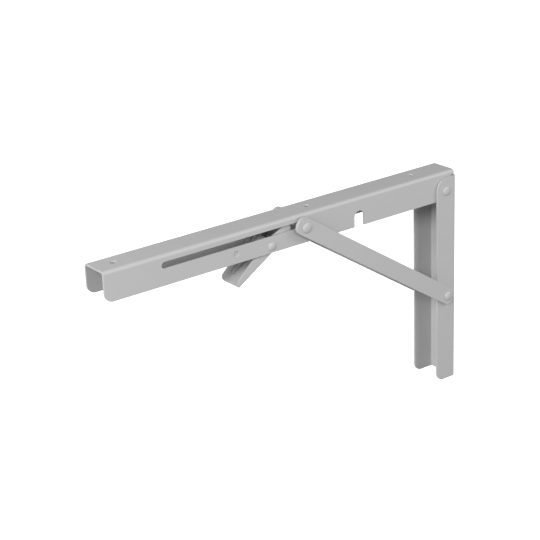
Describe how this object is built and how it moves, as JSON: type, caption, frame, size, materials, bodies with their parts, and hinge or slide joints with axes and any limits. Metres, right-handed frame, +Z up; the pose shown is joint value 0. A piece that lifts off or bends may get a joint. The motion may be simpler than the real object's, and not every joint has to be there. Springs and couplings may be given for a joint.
{
  "type": "folding shelf bracket",
  "caption": "Folding wall bracket for a shelf: a channel arm hinged in a wall channel, held level by a strut whose pin slides in slotted arm walls, with a sprung release lever.",
  "frame": {"origin": "on the wall face of the wall channel, at the height of the hinge axis, in the middle of the width", "axes": "+X into the wall, so the arm reaches along -X when open; +Z up; +Y across the width"},
  "size_m": [0.3, 0.0332, 0.1638],
  "materials": {
    "coated_steel": "satin silver-grey powder coat",
    "rivet_steel": "satin silver-grey coat over rivet heads",
    "spring_steel": "drawn spring wire"
  },
  "bodies": {
    "wall": {"wall_channel": "coated_steel", "hinge_rivet_near": "rivet_steel", "hinge_rivet_far": "rivet_steel", "strut_foot_pin": "rivet_steel", "strut_foot_spacer": "rivet_steel"},
    "arm": {"shelf_channel": "coated_steel", "lever_pin": "rivet_steel", "lever_spring": "spring_steel"},
    "strut": {"strut_bar_near": "coated_steel", "strut_bar_far": "coated_steel", "strut_top_rivet_near": "rivet_steel", "strut_top_rivet_far": "rivet_steel"},
    "slider": {"slide_pin": "rivet_steel", "slide_spacer_near": "rivet_steel", "slide_spacer_far": "rivet_steel"},
    "lever": {"release_lever": "coated_steel"}
  },
  "joints": [
    {"name": "arm_fold", "type": "hinge", "parent": "wall", "child": "arm", "pos_m": [-0.0096, 0, 0], "axis": [0, -1, 0], "range_deg": [0, 90]},
    {"name": "strut_swing", "type": "hinge", "parent": "wall", "child": "strut", "pos_m": [-0.0096, 0, -0.0814], "axis": [0, -1, 0], "range_deg": [0, 121.5]},
    {"name": "pin_slide", "type": "slide", "parent": "arm", "child": "slider", "axis": [-1, 0, 0], "range_m": [0, 0.1083]},
    {"name": "lever_release", "type": "hinge", "parent": "arm", "child": "lever", "pos_m": [-0.168, 0, -0.0025], "axis": [0, 1, 0], "range_deg": [0, 31.5], "stiffness_Nm_per_rad": 0.12, "springref_deg": -20.05, "deforming": ["lever_spring"]}
  ],
  "couplings": [
    {"joint": "strut_swing", "follows": "arm_fold", "ratio": 1.3442},
    {"joint": "pin_slide", "follows": "arm_fold", "m_per_rad": 0.068614}
  ]
}
